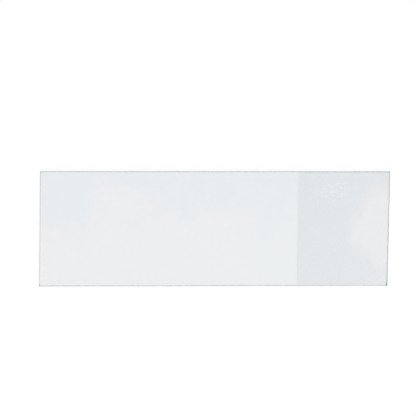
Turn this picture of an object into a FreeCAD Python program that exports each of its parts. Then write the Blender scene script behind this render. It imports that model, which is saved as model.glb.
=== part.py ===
import FreeCAD
import Part
import os

import Sketcher

# Microscope slide: one sheet of clear glass, 3 x 1 inch, with ground edges and one ground matt end.
# The origin is the middle of the underside, on which the slide lies. +X runs along the slide to
# its matt end, +Y across it, and +Z up through the glass. Lengths are in millimetres.

# Each driving size: its alias in the sheet, its value and what it measures.
SIZES = (
    ("slide_length", "76.2", "overall length, 3 inches"),
    ("slide_width", "25.4", "overall width, 1 inch"),
    ("slide_thickness", "1.0", "thickness of the glass"),
    ("corner_radius", "0.2", "radius that the four upright corners are dubbed to"),
    ("seam_leg", "0.15", "leg of the 45 degree seam ground along every edge of both faces"),
    ("matt_length", "20.0", "length of the matt end, from the end of the slide"),
    ("matt_depth", "0.02", "glass ground away from the upper face of the matt end"),
    ("cut_overrun", "1.0", "how far the matt cut runs on past the three outer edges"),
)

# The ends of a sketch line, and the sketch's own origin point.
START, END = 1, 2
ORIGIN = (-1, START)

# The lines of a drawn rectangle, and the corners that they start from, anticlockwise.
BOTTOM, RIGHT, TOP, LEFT = range(4)
UNIT_CORNERS = ((-1, -1), (1, -1), (1, 1), (-1, 1))

# A constraint is drawn at this size, and its expression then sets it.
DRAWN_SIZE = 1.0

# An edge that spans less than this along an axis lies square to it.
SQUARE = 1e-6

# A cut that takes away less than this share of its nominal volume has missed the glass.
LEAST_CUT_SHARE = 0.9


def make_sheet(doc):
    """Makes the spreadsheet of driving sizes."""
    sheet = doc.addObject("Spreadsheet::Sheet", "sizes")
    for row, (alias, value, meaning) in enumerate(SIZES, start=1):
        sheet.set(f"A{row}", alias)
        sheet.set(f"B{row}", value)
        sheet.set(f"C{row}", meaning)
        sheet.setAlias(f"B{row}", alias)
    doc.recompute()
    return sheet


def add_rectangle_sketch(body, name):
    """Draws a rectangle of level and upright lines in a sketch on the body's own XY plane."""
    planes = [plane for plane in body.Origin.OriginFeatures if plane.Role == "XY_Plane"]
    sketch = body.newObject("Sketcher::SketchObject", name)
    sketch.AttachmentSupport = (planes[0], [""])
    sketch.MapMode = "FlatFace"
    corners = [FreeCAD.Vector(x, y, 0) for x, y in UNIT_CORNERS]
    for line in (BOTTOM, RIGHT, TOP, LEFT):
        sketch.addGeometry(Part.LineSegment(corners[line], corners[(line + 1) % 4]))
    for line in (BOTTOM, RIGHT, TOP, LEFT):
        following = (line + 1) % 4
        sketch.addConstraint(Sketcher.Constraint("Coincident", line, END, following, START))
    for line in (BOTTOM, TOP):
        sketch.addConstraint(Sketcher.Constraint("Horizontal", line))
    for line in (RIGHT, LEFT):
        sketch.addConstraint(Sketcher.Constraint("Vertical", line))
    return sketch


def drive(sketch, name, kind, points, expression):
    """Adds a named distance between two points of the sketch, bound to an expression."""
    index = sketch.addConstraint(Sketcher.Constraint(kind, *points, DRAWN_SIZE))
    sketch.renameConstraint(index, name)
    sketch.setExpression(f"Constraints.{name}", expression)


def edges_square_to(shape, *axes):
    """Names the shape's edges that lie square to each of the axes, such as X."""
    return [
        f"Edge{number}"
        for number, edge in enumerate(shape.Edges, start=1)
        if all(getattr(edge.BoundBox, f"{axis}Length") < SQUARE for axis in axes)
    ]


def make_blank(body):
    """Pads the cut sheet up from the underside, centred on the origin."""
    outline = add_rectangle_sketch(body, "blank_outline")
    centred = Sketcher.Constraint("Symmetric", BOTTOM, START, TOP, START, *ORIGIN)
    outline.addConstraint(centred)
    drive(outline, "length", "DistanceX", (BOTTOM, START, BOTTOM, END), "sizes.slide_length")
    drive(outline, "width", "DistanceY", (RIGHT, START, RIGHT, END), "sizes.slide_width")
    blank = body.newObject("PartDesign::Pad", "blank")
    blank.Profile = outline
    blank.setExpression("Length", "sizes.slide_thickness")
    body.Document.recompute()
    return blank


def dub_corners(body, blank):
    """Rounds the four upright corners of the blank."""
    corners = body.newObject("PartDesign::Fillet", "dubbed_corners")
    corners.Base = (blank, edges_square_to(blank.Shape, "X", "Y"))
    corners.setExpression("Radius", "sizes.corner_radius")
    body.Document.recompute()
    return corners


def seam_edges(body, dubbed):
    """Grinds the seam along every edge of the upper face and the underside."""
    seams = body.newObject("PartDesign::Chamfer", "ground_seams")
    seams.Base = (dubbed, edges_square_to(dubbed.Shape, "Z"))
    seams.setExpression("Size", "sizes.seam_leg")
    body.Document.recompute()
    return seams


def grind_matt_end(body):
    """Takes down the upper face of the matt end, as far as the line where the clear glass starts."""
    area = add_rectangle_sketch(body, "matt_area")
    area.setExpression("AttachmentOffset.Base.z", "sizes.slide_thickness")
    matt_line = "sizes.slide_length / 2 - sizes.matt_length"
    reach = "sizes.matt_length + sizes.cut_overrun"
    half_span = "sizes.slide_width / 2 + sizes.cut_overrun"
    span = "sizes.slide_width + 2 * sizes.cut_overrun"
    drive(area, "matt_line", "DistanceX", (*ORIGIN, BOTTOM, START), matt_line)
    drive(area, "reach", "DistanceX", (BOTTOM, START, BOTTOM, END), reach)
    drive(area, "half_span", "DistanceY", (BOTTOM, START, *ORIGIN), half_span)
    drive(area, "span", "DistanceY", (RIGHT, START, RIGHT, END), span)
    matt = body.newObject("PartDesign::Pocket", "matt_end")
    matt.Profile = area
    matt.Type = "Length"
    matt.Reversed = False
    matt.setExpression("Length", "sizes.matt_depth")
    body.Document.recompute()
    return matt


def check_cut(before, after, nominal):
    """Stops if a cut took away too little glass, or more than its nominal volume."""
    removed = before.Shape.Volume - after.Shape.Volume
    if not LEAST_CUT_SHARE * nominal < removed <= nominal:
        raise ValueError(f"{after.Name} removed {removed:.4f} mm3, nominal {nominal:.4f} mm3")


def make_slide(doc, sheet):
    """Builds the slide as one body, and checks what was ground off it."""
    body = doc.addObject("PartDesign::Body", "glass_slide")
    body.Label = "glass_slide"
    body.Placement = FreeCAD.Placement()
    blank = make_blank(body)
    dubbed = dub_corners(body, blank)
    seamed = seam_edges(body, dubbed)
    matt = grind_matt_end(body)
    seam_run = 4 * (sheet.slide_length + sheet.slide_width)
    check_cut(dubbed, seamed, seam_run * sheet.seam_leg**2 / 2)
    check_cut(seamed, matt, sheet.matt_length * sheet.slide_width * sheet.matt_depth)
    return body


def check_document(doc):
    """Stops if a recompute left any object failed."""
    for item in doc.Objects:
        if "Invalid" in item.State or "Error" in item.State:
            raise ValueError(f"{item.Name} failed: {item.State}")


def write_step(body):
    """Checks the body's shape and writes it to its own file."""
    if body.Shape.isNull() or not body.Shape.isValid():
        raise ValueError(f"{body.Label} has no valid shape")
    os.makedirs("parts", exist_ok=True)
    body.Shape.exportStep(f"parts/{body.Label}.step")
    print(f"{body.Label}: {body.Shape.Volume:.3f} mm3")


doc = FreeCAD.newDocument("microscope_slide")
sheet = make_sheet(doc)
slide = make_slide(doc, sheet)
check_document(doc)
write_step(slide)
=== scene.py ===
import math

import bmesh
import bpy
from mathutils import Matrix, Vector, noise


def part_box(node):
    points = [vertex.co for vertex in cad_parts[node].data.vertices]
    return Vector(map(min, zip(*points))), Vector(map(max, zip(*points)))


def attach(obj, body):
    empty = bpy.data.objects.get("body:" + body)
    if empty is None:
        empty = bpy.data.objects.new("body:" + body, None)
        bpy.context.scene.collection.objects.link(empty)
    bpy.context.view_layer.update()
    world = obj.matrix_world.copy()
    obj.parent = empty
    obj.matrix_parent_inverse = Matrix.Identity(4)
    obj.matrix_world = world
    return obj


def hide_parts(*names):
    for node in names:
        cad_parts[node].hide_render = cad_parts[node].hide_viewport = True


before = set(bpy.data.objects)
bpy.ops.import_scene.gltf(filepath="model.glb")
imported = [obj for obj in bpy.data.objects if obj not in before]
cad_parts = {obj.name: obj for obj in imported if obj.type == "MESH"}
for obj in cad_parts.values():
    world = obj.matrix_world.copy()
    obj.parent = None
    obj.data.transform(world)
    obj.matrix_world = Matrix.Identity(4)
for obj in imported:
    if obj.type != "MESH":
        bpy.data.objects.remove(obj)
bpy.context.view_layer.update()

# A microscope slide of clear glass with ground edges and one matt end. The frame's origin is the
# middle of its underside, +X runs along the slide to the matt end, and +Y across it to the back.

NODE = "glass_slide"
MM = 0.001

# The finishes of the slide's surfaces, in the order of its material slots.
POLISHED, UPPER_SEAMS, LOWER_SEAMS, LONG_EDGES, SHORT_EDGES, MATT = range(6)

X, Y, Z = range(3)

# The slide's mesh and materials are worked out in millimetres. LOW and HIGH are the slide's lowest
# and highest corners, and MATT_LINE is where along it the matt end starts.
LOW, HIGH = (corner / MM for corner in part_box(NODE))
MATT_LENGTH = 20.0
MATT_LINE = HIGH.x - MATT_LENGTH

# A face is level or upright by how much of its normal points up or down, and a vertex is on the
# slide's rim if at least this much of its normal points outwards.
LEVEL = 0.99
UPRIGHT = 0.1
RIM = 0.1

# Places this close are one place, faces this near to flat are one face, and an edge this sharp is
# shaded as sharp.
TOUCHING = 1e-4
FLAT_ANGLE = math.radians(0.5)
SHARP_ANGLE = math.radians(30.0)

# The seams run into the ground edges over a rounded ridge.
RIDGE_SETBACK = 0.02
RIDGE_STEPS = 3
ROUND_PROFILE = 0.5

# The mesh's grid: its pitch, how many rows the upright edges have, how many cuts divide each cell
# of the matt face again, and the shortest edge that is divided so.
PITCH = 0.5
EDGE_ROWS = 3
MATT_CUTS = 2
LEAST_DIVIDED = 0.1

# What grinding leaves: seams of uneven width, wavy edges and a pitted matt face.
SEAM_WAVER = 0.015
SEAM_WAVE = 4.0
EDGE_WAVER = 0.004
EDGE_WAVE = 1.3
PIT_DEPTH = 0.006
PIT_SIZE = 0.4
PIT_MARGIN = 0.35


def add_object(name, data):
    """Adds an object to the scene."""
    added = bpy.data.objects.new(name, data)
    bpy.context.scene.collection.objects.link(added)
    return added


# --- the slide's mesh --------------------------------------------------------------------------
def finish_of(face):
    """The finish of one of the slide's faces, from where it lies and which way it looks."""
    normal, centre = face.normal, face.calc_center_median()
    if abs(normal.z) > LEVEL:
        ground = centre.x > MATT_LINE and normal.z > 0.0
        return MATT if ground else POLISHED
    if abs(centre.x - MATT_LINE) < TOUCHING and normal.x > LEVEL:
        return MATT
    if abs(normal.z) > UPRIGHT:
        return UPPER_SEAMS if normal.z > 0.0 else LOWER_SEAMS
    return LONG_EDGES if abs(normal.y) > abs(normal.x) else SHORT_EDGES


def is_ridge(edge):
    """True for an edge where a sloping seam meets an upright ground edge."""
    slopes = sorted(abs(face.normal.z) for face in edge.link_faces)
    return slopes[0] < UPRIGHT < slopes[-1] < LEVEL


def round_ridges(mesh):
    """Rounds the ridges, each new face taking the finish of a face beside it."""
    bmesh.ops.bevel(
        mesh,
        geom=[edge for edge in mesh.edges if is_ridge(edge)],
        offset=RIDGE_SETBACK,
        segments=RIDGE_STEPS,
        profile=ROUND_PROFILE,
        affect="EDGES",
        material=-1,
    )
    mesh.normal_update()


def cut(mesh, faces, axis, place):
    """Cuts the faces along the plane that crosses an axis at that place."""
    edges = {edge for face in faces for edge in face.edges}
    verts = {vert for face in faces for vert in face.verts}
    point, normal = Vector(), Vector()
    point[axis], normal[axis] = place, 1.0
    geometry = [*verts, *edges, *faces]
    bmesh.ops.bisect_plane(mesh, geom=geometry, dist=TOUCHING, plane_co=point, plane_no=normal)


def places(start, end, pitch):
    """Evenly spaced places between two limits, no further apart than the pitch."""
    steps = math.ceil((end - start) / pitch)
    return [start + (end - start) * step / steps for step in range(1, steps)]


def cut_grid(mesh):
    """Divides the slide's faces into a grid, finer on the matt face."""
    for axis in (X, Y):
        for place in places(LOW[axis], HIGH[axis], PITCH):
            cut(mesh, mesh.faces[:], axis, place)
    for place in places(LOW.z, HIGH.z, (HIGH.z - LOW.z) / EDGE_ROWS):
        upright = [face for face in mesh.faces if abs(face.normal.z) < UPRIGHT]
        cut(mesh, upright, Z, place)
    matt = [face for face in mesh.faces if face.material_index == MATT and face.normal.z > LEVEL]
    edges = {edge for face in matt for edge in face.edges}
    edges = [edge for edge in edges if edge.calc_length() > LEAST_DIVIDED]
    bmesh.ops.subdivide_edges(mesh, edges=edges, cuts=MATT_CUTS, use_grid_fill=True)
    # A face whose sides have corners in line could otherwise be split into triangles with no area.
    many_sided = [face for face in mesh.faces if len(face.verts) > 4]
    bmesh.ops.triangulate(mesh, faces=many_sided, ngon_method="BEAUTY")
    mesh.normal_update()


def waver(place, wave):
    """Smooth noise from 0 to 1 with that wavelength."""
    return 0.5 + 0.5 * noise.noise(place / wave)


def smooth_step(value, start, end):
    """Rises smoothly from 0 at start to 1 at end."""
    share = min(max((value - start) / (end - start), 0.0), 1.0)
    return share * share * (3.0 - 2.0 * share)


def from_outline(place):
    """How far inside the slide's plan outline a place lies."""
    return min(place.x - LOW.x, HIGH.x - place.x, place.y - LOW.y, HIGH.y - place.y)


def pit(place):
    """How deep the matt face is pitted at a place: less near its edges, where it meets others."""
    depth = PIT_DEPTH * waver(place, PIT_SIZE)
    inside = min(from_outline(place), place.x - MATT_LINE)
    return depth * smooth_step(inside, 0.0, PIT_MARGIN)


def grind(mesh):
    """Moves the vertices of ground surfaces inwards, by what grinding them leaves uneven."""
    moves = []
    for vert in mesh.verts:
        finishes = {face.material_index for face in vert.link_faces}
        outward = Vector((vert.normal.x, vert.normal.y, 0.0))
        if finishes == {MATT}:
            moves.append((vert, Vector((0.0, 0.0, -pit(vert.co)))))
        elif MATT not in finishes and outward.length > RIM:
            on_face = POLISHED in finishes
            depth, wave = (SEAM_WAVER, SEAM_WAVE) if on_face else (EDGE_WAVER, EDGE_WAVE)
            moves.append((vert, -outward.normalized() * depth * waver(vert.co, wave)))
    for vert, move in moves:
        vert.co += move


def mesh_data(name, mesh):
    """The worked mesh as mesh data, its faces sorted because cutting leaves them in any order."""
    mesh.verts.index_update()
    faces = [([vert.index for vert in face.verts], face.material_index) for face in mesh.faces]
    faces.sort()
    data = bpy.data.meshes.new(name)
    data.from_pydata([vert.co for vert in mesh.verts], [], [corners for corners, _ in faces])
    data.polygons.foreach_set("material_index", [finish for _, finish in faces])
    data.shade_smooth()
    data.set_sharp_from_angle(angle=SHARP_ANGLE)
    return data


def make_slide():
    """Refines the slide's exact form into a mesh that carries its ground surfaces."""
    mesh = bmesh.new()
    mesh.from_mesh(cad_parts[NODE].data)
    bmesh.ops.scale(mesh, vec=Vector((1.0, 1.0, 1.0)) / MM, verts=mesh.verts)
    bmesh.ops.remove_doubles(mesh, verts=mesh.verts, dist=TOUCHING)
    bmesh.ops.dissolve_limit(mesh, angle_limit=FLAT_ANGLE, verts=mesh.verts, edges=mesh.edges)
    mesh.normal_update()
    for face in mesh.faces:
        face.material_index = finish_of(face)
    round_ridges(mesh)
    cut_grid(mesh)
    grind(mesh)
    bmesh.ops.scale(mesh, vec=Vector((1.0, 1.0, 1.0)) * MM, verts=mesh.verts)
    bmesh.ops.recalc_face_normals(mesh, faces=mesh.faces)
    slide = add_object("slide", mesh_data("slide", mesh))
    mesh.free()
    return slide


# --- shader nodes ------------------------------------------------------------------------------
NO_STRETCH = (1.0, 1.0, 1.0)

# Most of a noise's values lie between these.
NOISE_BOUNDS = (0.35, 0.65)

# The sockets of a mix node that work on that kind of value: its factor, two inputs and result.
MIX_SOCKETS = {"FLOAT": (0, 2, 3, 0), "RGBA": (0, 6, 7, 2)}


class Shader:
    """The node tree of a new material or of the world, with short ways to add to it."""

    def __init__(self, owner, output="ShaderNodeOutputMaterial"):
        self.owner = owner
        owner.use_nodes = True
        self.tree = owner.node_tree
        self.tree.nodes.clear()
        self.output = self.add(output)

    def put(self, value, socket):
        """Links a socket to an input, or sets the input to a plain value."""
        if isinstance(value, bpy.types.NodeSocket):
            self.tree.links.new(value, socket)
        else:
            socket.default_value = value

    def add(self, kind, settings=None, **inputs):
        """Adds a node, with its settings, and its inputs set or linked."""
        node = self.tree.nodes.new(kind)
        for name, value in (settings or {}).items():
            setattr(node, name, value)
        for name, value in inputs.items():
            self.put(value, node.inputs[name.replace("_", " ")])
        return node

    def place(self, stretch=NO_STRETCH):
        """A place on the object in millimetres, with each axis divided by its stretch."""
        here = self.add("ShaderNodeTexCoord").outputs["Object"]
        scale = [1.0 / (MM * along) for along in stretch]
        return self.add("ShaderNodeMapping", Vector=here, Scale=scale).outputs["Vector"]

    def math(self, operation, first, second):
        """The result of an operation on two numbers or sockets."""
        node = self.add("ShaderNodeMath", {"operation": operation})
        self.put(first, node.inputs[0])
        self.put(second, node.inputs[1])
        return node.outputs[0]

    def total(self, first, *others):
        """The sum of several numbers or sockets."""
        for other in others:
            first = self.math("ADD", first, other)
        return first

    def along(self, axis):
        """How far along an axis a place on the object lies, in millimetres."""
        return self.add("ShaderNodeSeparateXYZ", Vector=self.place()).outputs[axis]

    def distance(self, point, stretch):
        """How far a place is from a point in millimetres, each axis divided by its stretch."""
        gap = self.add("ShaderNodeVectorMath", {"operation": "DISTANCE"})
        self.put(self.place(stretch), gap.inputs[0])
        self.put([along / by for along, by in zip(point, stretch)], gap.inputs[1])
        return gap.outputs["Value"]

    def noise(self, size, detail, stretch=NO_STRETCH):
        """Noise from 0 to 1 whose patches are that many millimetres across."""
        where = self.place(stretch)
        node = self.add("ShaderNodeTexNoise", Vector=where, Scale=1.0 / size, Detail=detail)
        return node.outputs["Fac"]

    def patches(self, size, detail, weight):
        """Noise from 0 to its weight, which shifts the value that it is added to."""
        return self.math("MULTIPLY", self.noise(size, detail), weight)

    def between(self, value, start, end, low=NOISE_BOUNDS[0], high=NOISE_BOUNDS[1]):
        """A number or a colour that goes from start to end as the value goes from low to high."""
        step = self.add(
            "ShaderNodeMapRange",
            {"interpolation_type": "SMOOTHSTEP"},
            Value=value,
            From_Min=low,
            From_Max=high,
        )
        kind = "FLOAT" if isinstance(start, float) else "RGBA"
        mix = self.add("ShaderNodeMix", {"data_type": kind})
        factor, first, second, result = MIX_SOCKETS[kind]
        self.put(step.outputs["Result"], mix.inputs[factor])
        self.put(start, mix.inputs[first])
        self.put(end, mix.inputs[second])
        return mix.outputs[result]


# --- the glass ---------------------------------------------------------------------------------
IOR = 1.52
GLASS_DEPTH_COLOUR = (0.25, 0.80, 0.73, 1.0)
GLASS_DEPTH_DENSITY = 8.0


def add_glass(shader, colour, roughness, transmission, normal=None):
    """Adds the glass itself: its surface, and the faint tint that its depth gives."""
    surface = shader.add(
        "ShaderNodeBsdfPrincipled",
        Base_Color=colour,
        Roughness=roughness,
        IOR=IOR,
        Transmission_Weight=transmission,
    )
    if normal is not None:
        shader.put(normal, surface.inputs["Normal"])
    depth = shader.add(
        "ShaderNodeVolumeAbsorption", Color=GLASS_DEPTH_COLOUR, Density=GLASS_DEPTH_DENSITY
    )
    shader.put(surface.outputs[0], shader.output.inputs["Surface"])
    shader.put(depth.outputs[0], shader.output.inputs["Volume"])
    return shader.owner


# Each noise below is the size of its patches in millimetres, its detail and, where it is added to
# another value, its weight. Bounds say where one tone starts to turn to the next, and where it has.

# The film on the clear faces is cooler in tone towards the matt end.
FILM_WARM = (0.868, 0.870, 0.888, 1.0)
FILM_COOL = (0.857, 0.875, 0.889, 1.0)
COOL_PATCHES = (9.0, 3.0, 30.0)
COOL_BOUNDS = (-6.0, 34.0)

# A painted reflection darkens it towards the back edge, to a cooler grey.
DIM_REFLECTION_TONE = (0.826, 0.853, 0.873, 1.0)
DIM_REFLECTION_PATCHES = (7.0, 4.0, 16.0)
DIM_REFLECTION_MOTTLE = (1.6, 3.0, 12.0)
DIM_REFLECTION_BOUNDS = (12.0, 26.0)

# The painted reflection is darker still at the clear end, and lighter in one patch near the back.
END_DIM_REFLECTION = 5.0
END_DIM_REFLECTION_BOUNDS = (-29.0, -25.0)
LIGHTER_PATCH_SHIFT = -6.0
LIGHTER_PATCH_PLACE = Vector((-22.5, 7.5, HIGH.z))
LIGHTER_PATCH_STRETCH = (1.2, 1.0, 1.0)
LIGHTER_PATCH_BOUNDS = (1.0, 6.5)

# Wiping left traces that are stretched along the slide.
TRACES = (1.6, 4.0)
TRACE_STRETCH = (7.0, 1.0, 1.0)
POLISHED_ROUGHNESS = (0.0, 0.02)
POLISHED_TRANSMISSION = 1.0


def polished_glass():
    """The clear faces: all but flat, with a faint film, a painted reflection and the traces of a
    wipe.
    """
    shader = Shader(bpy.data.materials.new("polished_glass"))
    cool = shader.total(shader.patches(*COOL_PATCHES), shader.along("X"))
    colour = shader.between(cool, FILM_WARM, FILM_COOL, *COOL_BOUNDS)
    lighter_patch = shader.distance(LIGHTER_PATCH_PLACE, LIGHTER_PATCH_STRETCH)
    # How dark the painted reflection is at each place.
    dim_reflection = shader.total(
        shader.patches(*DIM_REFLECTION_PATCHES),
        shader.along("Y"),
        shader.patches(*DIM_REFLECTION_MOTTLE),
        shader.between(shader.along("X"), END_DIM_REFLECTION, 0.0, *END_DIM_REFLECTION_BOUNDS),
        shader.between(lighter_patch, LIGHTER_PATCH_SHIFT, 0.0, *LIGHTER_PATCH_BOUNDS),
    )
    colour = shader.between(dim_reflection, colour, DIM_REFLECTION_TONE, *DIM_REFLECTION_BOUNDS)
    roughness = shader.between(shader.noise(*TRACES, TRACE_STRETCH), *POLISHED_ROUGHNESS)
    return add_glass(shader, colour, roughness, POLISHED_TRANSMISSION)


# Some upper corners are darker. Each is its side of X, its side of Y and the distance over which
# the darkening fades out, from the start on. Along the slide it reaches less far than across.
CORNER_DARK_TONE = (0.02, 0.022, 0.026, 1.0)
CORNER_DARK_STRETCH = (0.35, 1.0, 1.0)
CORNER_DARK_SPECKS = (0.12, 3.0, 1.2)
CORNER_DARK_START = 0.6
DARK_SEAM_CORNERS = ((-1, -1, 0.9), (-1, 1, 0.9), (1, -1, 2.4))
DARK_MATT_CORNERS = ((1, -1, 1.5),)


def add_dark_corners(shader, colour, corners):
    """Darkens corners in specks that break up as the darkening fades out."""
    specks = shader.patches(*CORNER_DARK_SPECKS)
    for x, y, reach in corners:
        corner = Vector((x * HIGH.x, y * HIGH.y, HIGH.z))
        gap = shader.total(shader.distance(corner, CORNER_DARK_STRETCH), specks)
        colour = shader.between(gap, CORNER_DARK_TONE, colour, CORNER_DARK_START, CORNER_DARK_START + reach)
    return colour


# The greys of the ground surfaces, in the hollows and on the tops of the lines that grinding left.
EDGE_TONES = ((0.88, 0.91, 0.93, 1.0), (0.95, 0.97, 0.98, 1.0))
LOWER_SEAM_TONES = ((0.93, 0.95, 0.97, 1.0), (0.97, 0.98, 0.99, 1.0))
UPPER_SEAM_TONES = ((0.50, 0.53, 0.58, 1.0), (0.60, 0.63, 0.68, 1.0))

# The upper seams are lighter along the clear glass's sides, from just inside its two ends.
CLEAR_SIDE_TONES = ((0.57, 0.60, 0.66, 1.0), (0.68, 0.71, 0.77, 1.0))
CLEAR_SIDE_BOUNDS = (0.15, 0.3)

# Across the matt end the ground surfaces carry painted shade, the upper seam most of all.
SEAM_END_SHADE = (0.25, 0.28, 0.32, 1.0)
EDGE_END_SHADE = (0.58, 0.61, 0.64, 1.0)
END_SHADE_BOUNDS = (HIGH.x - 0.3, HIGH.x - 0.1)

# The lines are stretched along each edge, and show as relief too. On the narrow seams, which run
# both ways, they aren't stretched.
LINES = (0.1, 3.0)
ALONG_SLIDE = (40.0, 1.0, 1.0)
ACROSS_SLIDE = (1.0, 40.0, 1.0)
LINE_ROUGHNESS = (0.15, 0.30)
LINE_RELIEF = 0.5
RELIEF_DEPTH = 0.01 * MM

# How much light goes through the ground surfaces rather than being scattered at them.
EDGE_TRANSMISSION = 0.25
LOWER_SEAM_TRANSMISSION = 0.7
UPPER_SEAM_TRANSMISSION = 0.5


def paint_end_shade(shader, colour, tone):
    """Paints shade onto the edge across the matt end, turning it to its own darker tone."""
    return shader.between(shader.along("X"), colour, tone, *END_SHADE_BOUNDS)


def add_ground_glass(shader, colour, lines, transmission):
    """Adds glass whose surface was ground on a wheel, with the lines that leaves."""
    roughness = shader.between(lines, *LINE_ROUGHNESS)
    bump = shader.add(
        "ShaderNodeBump", Strength=LINE_RELIEF, Distance=RELIEF_DEPTH, Height=lines
    )
    return add_glass(shader, colour, roughness, transmission, bump.outputs["Normal"])


def ground_glass(name, stretch, tones, transmission):
    """Ground edges and lower seams: pale, with fine lines and painted shade across the matt end."""
    shader = Shader(bpy.data.materials.new(name))
    lines = shader.noise(*LINES, stretch)
    # Painted shade across the matt end.
    colour = paint_end_shade(shader, shader.between(lines, *tones), EDGE_END_SHADE)
    return add_ground_glass(shader, colour, lines, transmission)


def upper_seam_glass():
    """Upper seams: greyer, lighter along the clear glass's sides, painted shade across the matt
    end, three darker corners.
    """
    shader = Shader(bpy.data.materials.new("upper_seams"))
    lines = shader.noise(*LINES)
    colour = shader.between(lines, *UPPER_SEAM_TONES)
    from_end = shader.math("SUBTRACT", shader.along("X"), LOW.x)
    from_matt = shader.math("SUBTRACT", MATT_LINE, shader.along("X"))
    inside = shader.math("MINIMUM", from_end, from_matt)
    clear_sides = shader.between(lines, *CLEAR_SIDE_TONES)
    colour = shader.between(inside, colour, clear_sides, *CLEAR_SIDE_BOUNDS)
    # Painted shade across the matt end.
    colour = paint_end_shade(shader, colour, SEAM_END_SHADE)
    colour = add_dark_corners(shader, colour, DARK_SEAM_CORNERS)
    return add_ground_glass(shader, colour, lines, UPPER_SEAM_TRANSMISSION)


# A painted sheen makes the matt face lighter towards its end, and a little towards the front.
MATT_OWN_TONE = (0.676, 0.711, 0.740, 1.0)
MATT_SHEEN = (0.722, 0.737, 0.757, 1.0)
MATT_PATCHES = (6.0, 4.0, 8.0)
MATT_MOTTLE = (0.8, 2.0, 30.0)
MATT_TILT = -0.12
SHEEN_BOUNDS = (31.0, 63.0)

# Near its end, where the slide is gripped, a painted reflection makes it lighter.
MATT_REFLECTION = (0.768, 0.772, 0.786, 1.0)
REFLECTION_PLACE = Vector((36.8, 1.0, HIGH.z))
REFLECTION_STRETCH = (1.0, 1.3, 1.0)
REFLECTION_BOUNDS = (8.0, 12.0)

# Nearer the back is a scuff of light specks, which thins out with the distance from its middle.
MATT_SCUFF = (0.746, 0.779, 0.805, 1.0)
SCUFF_PLACE = Vector((25.2, 8.5, HIGH.z))
SCUFF_STRETCH = (2.0, 1.2, 1.0)
SCUFF_THINNING = 0.08
SCUFF_SPECKS = (0.5, 2.0)
SCUFF_BOUNDS = (0.40, 0.65)

# Painted shade makes it darker in a rim along the back edge.
MATT_EDGE_SHADE = (0.60, 0.64, 0.68, 1.0)
EDGE_SHADE_BOUNDS = (HIGH.y - 0.45, HIGH.y - 0.15)

# The grain itself.
GRAIN = (0.2, 3.0)
GRAIN_TOPS = (1.0, 1.0, 1.0, 1.0)
GRAIN_BOUNDS = (0.45, 1.15)
MATT_ROUGHNESS = (0.50, 0.62)
GRAIN_RELIEF = 0.35
MATT_TRANSMISSION = 0.5


def matt_glass():
    """The matt face: fine grain, a painted sheen and reflection, a scuff, painted edge shade, a
    dark corner.
    """
    shader = Shader(bpy.data.materials.new("matt_glass"))
    grain = shader.noise(*GRAIN)
    patches = shader.patches(*MATT_PATCHES)
    # How far the painted sheen lightens each place.
    sheen_share = shader.total(
        patches,
        shader.along("X"),
        shader.patches(*MATT_MOTTLE),
        shader.math("MULTIPLY", shader.along("Y"), MATT_TILT),
    )
    colour = shader.between(sheen_share, MATT_OWN_TONE, MATT_SHEEN, *SHEEN_BOUNDS)
    # The painted reflection near the end.
    reflection_gap = shader.total(shader.distance(REFLECTION_PLACE, REFLECTION_STRETCH), patches)
    colour = shader.between(reflection_gap, MATT_REFLECTION, colour, *REFLECTION_BOUNDS)
    scuff = shader.distance(SCUFF_PLACE, SCUFF_STRETCH)
    scuff = shader.math("MULTIPLY", scuff, SCUFF_THINNING)
    scuff = shader.total(scuff, shader.noise(*SCUFF_SPECKS))
    colour = shader.between(scuff, MATT_SCUFF, colour, *SCUFF_BOUNDS)
    # Painted shade along the back edge.
    colour = shader.between(shader.along("Y"), colour, MATT_EDGE_SHADE, *EDGE_SHADE_BOUNDS)
    colour = shader.between(grain, colour, GRAIN_TOPS, *GRAIN_BOUNDS)
    colour = add_dark_corners(shader, colour, DARK_MATT_CORNERS)
    roughness = shader.between(grain, *MATT_ROUGHNESS)
    bump = shader.add(
        "ShaderNodeBump", Strength=GRAIN_RELIEF, Distance=RELIEF_DEPTH, Height=grain
    )
    return add_glass(shader, colour, roughness, MATT_TRANSMISSION, bump.outputs["Normal"])


def add_materials(slide):
    """Gives the slide the material of each of its finishes, in their order."""
    seams = ("lower_seams", NO_STRETCH, LOWER_SEAM_TONES, LOWER_SEAM_TRANSMISSION)
    long_edges = ("ground_long_edges", ALONG_SLIDE, EDGE_TONES, EDGE_TRANSMISSION)
    short_edges = ("ground_short_edges", ACROSS_SLIDE, EDGE_TONES, EDGE_TRANSMISSION)
    materials = {
        POLISHED: polished_glass(),
        UPPER_SEAMS: upper_seam_glass(),
        LOWER_SEAMS: ground_glass(*seams),
        LONG_EDGES: ground_glass(*long_edges),
        SHORT_EDGES: ground_glass(*short_edges),
        MATT: matt_glass(),
    }
    for finish in sorted(materials):
        slide.data.materials.append(materials[finish])


# --- the studio, in metres ---------------------------------------------------------------------
FLOOR_GAP = 0.02 * MM
FLOOR_HALF = 3.0
FLOOR_COLOUR = (0.92, 0.92, 0.92, 1.0)
WHITE = (1.0, 1.0, 1.0, 1.0)

# To the rays that show the background, this much of the floor's white is its own glow and the
# world is plain white. To all others the floor only reflects, and the world gives this light.
FLOOR_GLOW = 0.94
WORLD_LIGHT = 0.75
BACKGROUND_RAYS = ("Is Camera Ray", "Is Glossy Ray", "Is Transmission Ray")


def background_share(shader):
    """1 for the rays that show the background: straight, mirrored or through glass."""
    rays = shader.add("ShaderNodeLightPath")
    share = rays.outputs[BACKGROUND_RAYS[0]]
    for name in BACKGROUND_RAYS[1:]:
        share = shader.math("MAXIMUM", share, rays.outputs[name])
    return share


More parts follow.
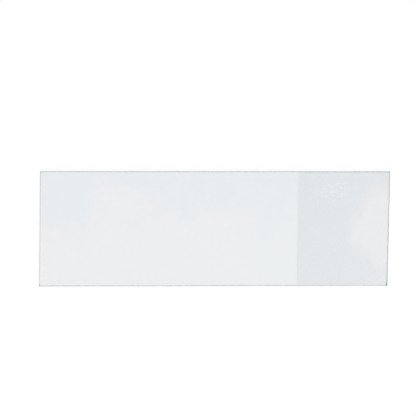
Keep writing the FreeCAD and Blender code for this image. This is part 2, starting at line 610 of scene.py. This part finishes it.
def floor_white():
    """The floor's white, part lit and part glowing, so that a shadow on it stays faint."""
    shader = Shader(bpy.data.materials.new("studio_white"))
    lit = shader.add("ShaderNodeBsdfDiffuse", Color=FLOOR_COLOUR)
    glow = shader.add("ShaderNodeEmission", Strength=1.0)
    amount = shader.math("MULTIPLY", background_share(shader), FLOOR_GLOW)
    both = shader.add("ShaderNodeMixShader", Fac=amount)
    shader.put(lit.outputs[0], both.inputs[1])
    shader.put(glow.outputs[0], both.inputs[2])
    shader.put(both.outputs[0], shader.output.inputs["Surface"])
    return shader.owner


def make_floor():
    """A plain floor just under the slide."""
    sides = ((-1, -1), (1, -1), (1, 1), (-1, 1))
    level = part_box(NODE)[0].z - FLOOR_GAP
    corners = [(x * FLOOR_HALF, y * FLOOR_HALF, level) for x, y in sides]
    data = bpy.data.meshes.new("floor")
    data.from_pydata(corners, [], [range(4)])
    data.materials.append(floor_white())
    add_object("floor", data)


def make_world():
    """Soft even light from all round, on a background that shows white."""
    world = bpy.data.worlds.new("studio")
    bpy.context.scene.world = world
    shader = Shader(world, "ShaderNodeOutputWorld")
    strength = shader.between(background_share(shader), WORLD_LIGHT, 1.0, 0.0, 1.0)
    light = shader.add("ShaderNodeBackground", Color=WHITE, Strength=strength)
    shader.put(light.outputs[0], shader.output.inputs["Surface"])


# Each lamp's name, its azimuth and elevation in degrees, and its distance, size and watts.
LAMPS = (
    ("key", 262.0, 52.0, 1.2, 0.9, 7.27),
    ("fill", 20.0, 40.0, 1.4, 1.2, 1.5),
)


def direction(azimuth, elevation):
    """Unit vector towards an azimuth, anticlockwise from +X, and an elevation, in degrees."""
    turn, rise = math.radians(azimuth), math.radians(elevation)
    level = math.cos(rise)
    return Vector((level * math.cos(turn), level * math.sin(turn), math.sin(rise)))


def make_lamps():
    """Large square soft lamps that face the slide."""
    for name, azimuth, elevation, distance, size, power in LAMPS:
        light = bpy.data.lights.new(name, "AREA")
        light.size = size
        light.energy = power
        lamp = add_object(name, light)
        towards = direction(azimuth, elevation)
        lamp.location = towards * distance
        lamp.rotation_euler = towards.to_track_quat("Z", "Y").to_euler()


# The camera looks down on the slide, a little from its back and its clear end.
CAMERA_DISTANCE = 0.8622
CAMERA_ANGLE = math.radians(6.0)
LEAN_TO_CLEAR_END = math.radians(5.40)
LEAN_TO_BACK = math.radians(10.52)
CAMERA_ROLL = math.radians(0.944)
AIM = Vector((-1.497, 4.493, 0.0)) * MM


def make_camera():
    """Sets the camera so that the slide lies in the frame as it is seen in the photograph."""
    data = bpy.data.cameras.new("camera")
    data.angle = CAMERA_ANGLE
    camera = add_object("camera", data)
    back = Vector((-math.tan(LEAN_TO_CLEAR_END), math.tan(LEAN_TO_BACK), 1.0)).normalized()
    right = Vector((0.0, 1.0, 0.0)).cross(back).normalized()
    axes = Matrix((right, back.cross(right), back)).transposed()
    place = Matrix.Translation(AIM + back * CAMERA_DISTANCE)
    camera.matrix_world = place @ axes.to_4x4() @ Matrix.Rotation(CAMERA_ROLL, 4, "Z")
    bpy.context.scene.camera = camera


# --- the scene ---------------------------------------------------------------------------------
slide = make_slide()
add_materials(slide)
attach(slide, "root")
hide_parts(NODE)
make_floor()
make_world()
make_lamps()
make_camera()
bpy.context.scene.view_settings.view_transform = "Standard"
